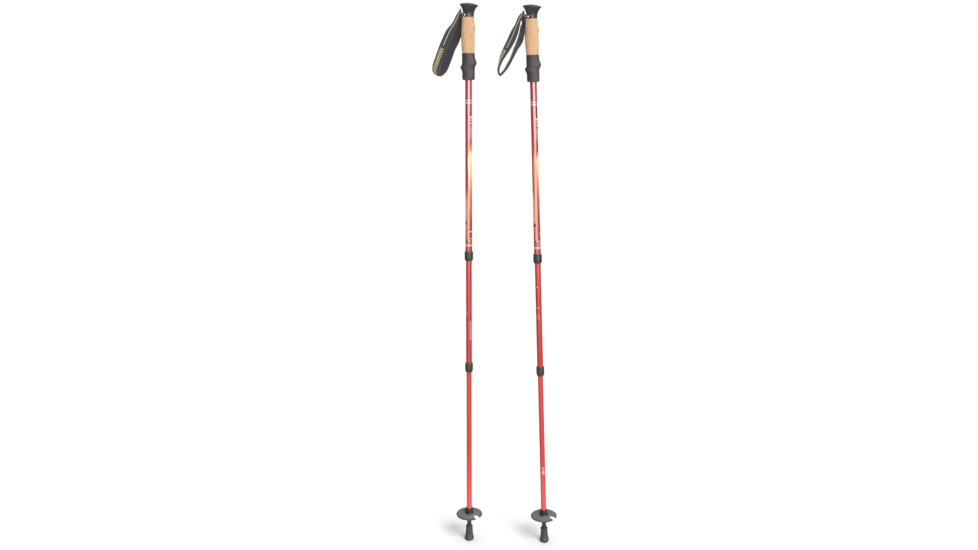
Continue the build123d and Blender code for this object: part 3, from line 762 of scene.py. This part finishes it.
# Each strap's loop as seen from the front: how far it stands out from the hang line (outer side negative),
# how far down that line it is, how far its face is turned from edge-on, in degrees, and the pad's half width.
LOOPS = {
    "left": [
        (-0.3, 5, 34, 7.6), (-0.8, 12, 40, 7.6), (-2.8, 32, 46, 8.5), (-6.3, 50, 48, 12.6), (-8.4, 72, 48, 13.2),
        (-9.2, 98, 48, 13.2), (-9.2, 124, 48, 13.2), (-8.6, 146, 44, 13.0), (-0.3, 160.0, 42, 12.8),
        (9.6, 146, 46, 12.6), (11.2, 118, 50, 12.4), (11.0, 92, 50, 12.6), (12.0, 66, 48, 15.0),
        (11.4, 44, 47, 14.0), (9.0, 26, 46, 9.4), (6.8, 13, 28, 7.8),
    ],
    "right": [
        (-1.6, 4, 38, 7.6), (-3.6, 12, 40, 7.6), (-5.2, 28.6, 38, 8.5), (-6.4, 49, 40, 12.6), (-8.2, 70, 40, 13.2),
        (-12.0, 92, 34, 13.2), (-16.0, 115, 21.5, 13.2), (-16.0, 134, 8, 13.2), (-13.4, 148, 4, 13.0),
        (-5.0, 156, 3, 12.8), (2.2, 143, 4, 12.6), (5.8, 129, 12, 12.4), (9.0, 111, 12.5, 12.4),
        (11.4, 87, 19, 12.6), (14.6, 66, 26, 14.0), (14.0, 50, 27, 13.0), (10.6, 28, 34, 9.4), (6.2, 14, 34, 7.8),
    ],
}
# The tape's way over the pin, out of the slot, up beside the neck and over, and the other end's way back in
# along the slot's floor and under the pin, as (x, z, turn) from the strap's hinge.
WAY_OUT = [(13.5, -4.2, 0), (9.4, -5.0, 0), (5.2, -4.4, 0), (2.6, -0.2, 0), (1.2, 6.8, 3), (-0.4, 2.9, 10)]
WAY_IN = [(4.4, -10.6, 20), (9.0, -8.9, 0), (13.5, -9.6, 0)]


def loop_path(side):
    """The whole tape as (point, twist, pad half width) knots: out of the slot, round the loop and back in."""
    hinge = own_hinge(side, "strap_swing")
    down = Vector((-math.sin(HANG), 0, -math.cos(HANG)))
    out = Vector((math.cos(HANG), 0, -math.sin(HANG)))
    knots = [(hinge + Vector((x, 0, z)), math.radians(turn), TAPE_HALF) for x, z, turn in WAY_OUT]
    for sideways, depth, twist, half in LOOPS[side]:
        turn = math.radians(twist)
        apart = math.cos(turn) * out + math.sin(turn) * Vector((0, 1, 0))
        knots.append((hinge + depth * down + sideways / math.cos(turn) * apart, turn, half))
    return knots + [(hinge + Vector((x, 0, z)), math.radians(turn), TAPE_HALF) for x, z, turn in WAY_IN]


def spline(knots, spacing):
    """Evenly spaced (point, twist, half width) along a smooth curve through the knots."""
    rows = [Vector((*point, turn, half)) for point, turn, half in knots]
    rows = [2 * rows[0] - rows[1]] + rows + [2 * rows[-1] - rows[-2]]
    fine = []
    for index in range(1, len(rows) - 2):
        p0, p1, p2, p3 = rows[index - 1 : index + 3]
        for step in range(24):
            t = step / 24
            bend = (2 * p0 - 5 * p1 + 4 * p2 - p3) * t**2 + (3 * p1 - p0 - 3 * p2 + p3) * t**3
            fine.append(0.5 * (2 * p1 + (p2 - p0) * t + bend))
    fine.append(rows[-2])
    samples, travelled, wanted = [], 0.0, 0.0
    for before, after in zip(fine, fine[1:]):
        length = Vector((after - before)[:3]).length
        while wanted <= travelled + length:
            row = before.lerp(after, (wanted - travelled) / length)
            samples.append((Vector(row[:3]), row[3], row[4], wanted))
            wanted += spacing
        travelled += length
    return samples


class Tape:
    """The frames along a strap's loop: where it is, which way its width runs and which way is inside."""

    def __init__(self, side, spacing=1.5):
        self.side = side
        self.rows = []
        samples = spline(loop_path(side), spacing)
        for index, (point, turn, half, travelled) in enumerate(samples):
            before = samples[max(0, index - 1)][0]
            after = samples[min(len(samples) - 1, index + 1)][0]
            along = (after - before).normalized()
            out = Vector((math.cos(HANG), 0, -math.sin(HANG)))
            width = math.sin(turn) * out - math.cos(turn) * Vector((0, 1, 0))
            width = (width - width.dot(along) * along).normalized()
            inward = width.cross(along).normalized()
            self.rows.append((point, width, inward, half, travelled))
        self.length = self.rows[-1][4]

    def at(self, row, across, inside):
        """A point of the tape's own space: across its width and towards the loop's inside."""
        point, width, inward, _, travelled = row
        return point + across * width + inside * inward


def ribbon(name, tape, section, start, stop, materials, sides):
    """Sweeps a section along part of a strap's loop, with a flat map for its weave.

    section(half, travelled) gives closed (across, inside) points, and sides names each face's material.
    """
    rows = [row for row in tape.rows if start <= row[4] <= stop]
    rings = [[tape.at(row, across, inside) for across, inside in section(row[3], row[4])] for row in rows]
    flats = [[(across, row[4]) for across, _ in section(row[3], row[4])] for row in rows]
    points, faces = capped(*skin(rings), rings)
    piece = build(name, tape.side, points, faces, materials)
    flat = [point for ring in flats for point in ring]
    layer = piece.data.uv_layers.new(name="flat")
    count = len(rings[0])
    for polygon in piece.data.polygons:
        for loop in polygon.loop_indices:
            across, along = flat[piece.data.loops[loop].vertex_index]
            layer.data[loop].uv = (across * MM, along * MM)
        if polygon.index < (len(rings) - 1) * count:
            polygon.material_index = sides[polygon.index % count]
    return piece


def tape_section(travelled, length):
    """The flat woven tape with slightly thicker selvedges, folded double where its ends are sewn in the slot."""
    from_end = min(travelled, length - travelled)
    plies = 1.0 + 1.7 * ease(from_end, 0.5, 2.5) * (1.0 - ease(from_end, 9.0, 12.0))
    upper, lower = [], []
    for step in range(-12, 13):
        across = TAPE_HALF * math.sin(math.pi / 2 * step / 12)
        edge = TAPE_HALF - abs(across)
        thick = plies * TAPE_THICK / 2 * (min(1.0, edge / 0.5) * (2 - min(1.0, edge / 0.5))) ** 0.5
        thick += 0.12 * math.exp(-(((edge - 0.9) / 0.5) ** 2))
        wave = 0.10 * noise.noise(Vector((across * 0.25, travelled * 0.12, 0.0)))
        upper.append((across, -thick + wave))
        lower.append((across, thick + wave))
    return upper + lower[-2:0:-1]


def tape_sides():
    return [0] * 48


PAD_EDGES = (0.0, 0.1, 0.3, 0.6, 1.0, 1.5, 2.0, 2.5, 2.9, 3.2, 3.5, 3.9, 4.4, 5.2, 6.2)
PAD_STEPS = len(PAD_EDGES) + 4


def pad_section(half, travelled):
    """The pad: a bound edge, a sewn channel inside it and a soft crown between the channels."""
    reach = max(half, TAPE_HALF + 0.4)
    places = [edge * reach / 13.2 for edge in PAD_EDGES]
    left = places[-1]
    places += [left + (reach - left) * (step + 1) / 4 for step in range(4)]
    outer, inner = [], []
    for sign in (-1, 1):
        row = places if sign < 0 else places[-2::-1]
        for distance in row:
            across = sign * (reach - distance)
            scaled = distance * 13.2 / reach
            bound = 1.9 * (min(1.0, scaled / 1.1) * (2 - min(1.0, scaled / 1.1))) ** 0.5
            full = PAD_THICK + 0.9 * ease(scaled, 3.0, 9.0)
            thick = bound + (full - bound) * ease(scaled, 2.6, 4.4)
            thick -= 0.95 * math.exp(-(((scaled - 3.2) / 0.45) ** 2))
            wave = 0.35 * noise.noise(Vector((across * 0.10, travelled * 0.06, 7.0)))
            wave += 0.12 * noise.noise(Vector((across * 0.4, travelled * 0.25, 3.0)))
            near = TAPE_THICK / 2 + 0.05
            outer.append((across, near + (1.9 - bound) * 0.3 + wave * 0.3))
            inner.append((across, near + max(0.12, thick) + wave))
    return outer + inner[-1::-1]


def pad_sides():
    """Outer cloth, lining and binding by place round the section."""
    count = 2 * PAD_STEPS - 1
    bound = 9
    kinds = []
    for kind, cloth in ((0, 1), (1, 2)):
        for step in range(count):
            on_edge = step < bound or step >= count - bound - 1
            kinds.append(0 if on_edge else cloth)
    return kinds


def stitches(name, tape, lines, start, stop, material, pitch=3.2, size=0.28):
    """Short raised threads along lines given as across and inside of each row."""
    points, faces = [], []
    wanted = start
    for row, after in zip(tape.rows, tape.rows[1:]):
        if row[4] < wanted or row[4] > stop:
            continue
        wanted = row[4] + pitch
        point, width, inward, half, travelled = row
        along = (after[0] - point).normalized()
        for line in lines:
            across, inside = line(half)
            middle = tape.at(row, across, inside)
            for step in range(5):
                share = step / 4 * 2 - 1
                fat = size * (1 - share * share) ** 0.5 + 0.02
                centre = middle + along * share * pitch * 0.36
                for corner in range(6):
                    turn = math.tau * corner / 6
                    points.append(centre + fat * math.cos(turn) * width + fat * math.sin(turn) * inward)
            base = len(points) - 30
            for ring in range(4):
                for corner in range(6):
                    a = base + ring * 6 + corner
                    b = base + ring * 6 + (corner + 1) % 6
                    faces.append((a, b, b + 6, a + 6))
            faces.append(tuple(base + corner for corner in range(5, -1, -1)))
            faces.append(tuple(base + 24 + corner for corner in range(6)))
    return build(name, tape.side, points, faces, [material])


def wrist_strap(side, finishes):
    """The whole strap: woven tape, padded band behind its wide stretch, and the threads that sew them."""
    tape = Tape(side)
    webbing_finish, binding, cloth, inner, thread = finishes
    pieces = []
    strap = ribbon(
        f"{side}_strap_tape", tape, lambda half, travelled: tape_section(travelled, tape.length),
        0, tape.length, [webbing_finish], tape_sides(),
    )
    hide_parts(f"{side}_wrist_strap", f"{side}_strap_end")
    pad_from, pad_to = 52.0, tape.length - 30.0
    pad = ribbon(f"{side}_strap_pad", tape, pad_section, pad_from, pad_to, [binding, cloth, inner], pad_sides())
    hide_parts(f"{side}_strap_padding")
    sewn = stitches(
        f"{side}_strap_tape_stitches", tape,
        [lambda half: (6.3, -0.62), lambda half: (-6.3, -0.62)], pad_from, pad_to, thread, 3.0, 0.2,
    )
    edge = stitches(
        f"{side}_strap_edge_stitches", tape,
        [lambda half: (sign * (max(half, 7.9) * (1 - 2.0 / 13.2)), 2.45) for sign in (-1, 1)],
        pad_from + 3, pad_to - 3, thread, 3.4, 0.24,
    )
    hinge = own_hinge(side, "strap_swing")
    for piece in (strap, pad, sewn, edge):
        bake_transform(piece)
    return [strap, pad, sewn, edge]


# ---------------------------------------------------------------- stage
def stage():
    """A seamless pale floor that the poles stand on."""
    finish = Finish("floor_paper")
    fine = finish.noise(finish.place(), 0.8, 3.0, 0.6)
    material = finish.done(Base_Color=(0.88, 0.88, 0.88), Roughness=0.85, Normal=finish.bump(fine, 0.05))
    reach = 40.0
    low = min(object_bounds()[0].z, 0.0)
    mesh = bpy.data.meshes.new("floor")
    corners = [(-reach, -reach, low), (reach, -reach, low), (reach, reach, low), (-reach, reach, low)]
    mesh.from_pydata(corners, [], [(0, 1, 2, 3)])
    mesh.materials.append(material)
    floor = bpy.data.objects.new("floor", mesh)
    bpy.context.scene.collection.objects.link(floor)
    floor.visible_glossy = False
    floor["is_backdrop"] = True


def studio():
    """White to the eye and soft for plain surfaces, with a tall front panel for gloss to mirror."""
    world = bpy.data.worlds.new("studio")
    bpy.context.scene.world = world
    world.use_nodes = True
    tree = world.node_tree
    tree.nodes.clear()
    direction = make(tree, "TexCoord", {}, "Generated")
    split = tree.nodes.new("ShaderNodeSeparateXYZ")
    plug(tree, direction, split.inputs[0])
    x, y, z = [Term(tree, output) for output in split.outputs]
    turned = x.math("ARCTAN2", y * -1.0)
    azimuth = turned.abs()
    level = (x * x + y * y).math("SQRT")
    rise = z.math("ARCTAN2", level)
    front = (turned - (rise + 0.10) * PANEL_SLANT).within(PANEL_TURN, PANEL_HALF, 0.14)
    lit = rise.above(-0.236, 0.175) * 0.45 + rise.above(-0.140, 0.052) * 0.55
    lit = lit * (1.0 - rise.above(0.50, 0.2))
    back = azimuth.above(2.75, 0.3) * rise.above(-0.5, 0.2) * (1.0 - rise.above(0.6, 0.3))
    overhead = rise.above(0.95, 0.4)
    ground = 1.0 - rise.above(-0.75, 0.5)
    mirrored = 0.10 + front * (lit * (PANEL - LOW_PANEL) + LOW_PANEL) + back * BACK_PANEL + overhead * 0.25 + ground * 0.3
    ray = tree.nodes.new("ShaderNodeLightPath")
    is_camera = Term(tree, ray.outputs["Is Camera Ray"])
    is_gloss = Term(tree, ray.outputs["Is Glossy Ray"])
    strength = is_camera * 1.0 + is_gloss * mirrored + (1.0 - is_camera) * (1.0 - is_gloss) * SKY
    output = tree.nodes.new("ShaderNodeOutputWorld")
    inputs = {"Factor": is_gloss, 6: (1.0, 1.0, 1.0), 7: PANEL_COLOUR}
    tint = make(tree, "Mix", inputs, 2, data_type="RGBA")
    glow = make(tree, "Background", {"Color": tint, "Strength": strength})
    tree.links.new(glow.socket, output.inputs[0])

    lamp = bpy.data.lights.new("key", "SUN")
    lamp.energy = KEY_POWER
    lamp.angle = math.radians(KEY_SPREAD)
    key = bpy.data.objects.new("key", lamp)
    key.rotation_mode = "QUATERNION"
    key.rotation_quaternion = Vector(KEY_FROM).to_track_quat("Z", "Y")
    bpy.context.scene.collection.objects.link(key)


def camera():
    """A level camera at the poles' top, with its lens shifted down; the shift is only for that viewpoint."""
    data = bpy.data.cameras.new("camera")
    data.sensor_width = SENSOR
    data.lens = CAMERA_LENS
    eye = bpy.data.objects.new("camera", data)
    eye.location = CAMERA_PLACE
    eye.rotation_euler = (math.radians(90), CAMERA_ROLL, 0)
    viewpoint = bpy.data.objects.new("photo_viewpoint", None)
    viewpoint.location = CAMERA_PLACE
    for thing in (eye, viewpoint):
        bpy.context.scene.collection.objects.link(thing)
    bpy.context.scene.camera = eye
    driver = data.driver_add("shift_y").driver
    driver.type = "SCRIPTED"
    moved = driver.variables.new()
    moved.name = "moved"
    moved.type = "LOC_DIFF"
    moved.targets[0].id = eye
    moved.targets[1].id = viewpoint
    driver.expression = f"{CAMERA_SHIFT} if moved < 0.01 else 0.0"


def dress():
    """Every Blender piece of both poles."""
    cork_finish = cork()
    rubber = moulded("grip_rubber", (0.047, 0.040, 0.042), 0.62, 0.6, 0.05)
    boot_rubber = moulded("boot_rubber", (0.046, 0.047, 0.043), 0.58, 0.5, 0.03)
    strap_finishes = (
        webbing(),
        lining("pad_binding", (0.028, 0.027, 0.029), 0.05),
        shell_cloth(),
        lining("pad_lining", (0.036, 0.031, 0.042)),
        lining("strap_thread", (0.10, 0.097, 0.10), 0.03),
    )
    for side in SIDES:
        sleeve = grip_sleeve(side, "cork_grip", cork_finish, 0.5, 1)
        sleeve = grip_sleeve(side, "lower_grip", rubber, 0.8, 2)
        boot(side, boot_rubber)
        wrist_strap(side, strap_finishes)


paint_frame()
dress()
stage()
studio()
camera()
bpy.context.scene.view_settings.view_transform = "Standard"
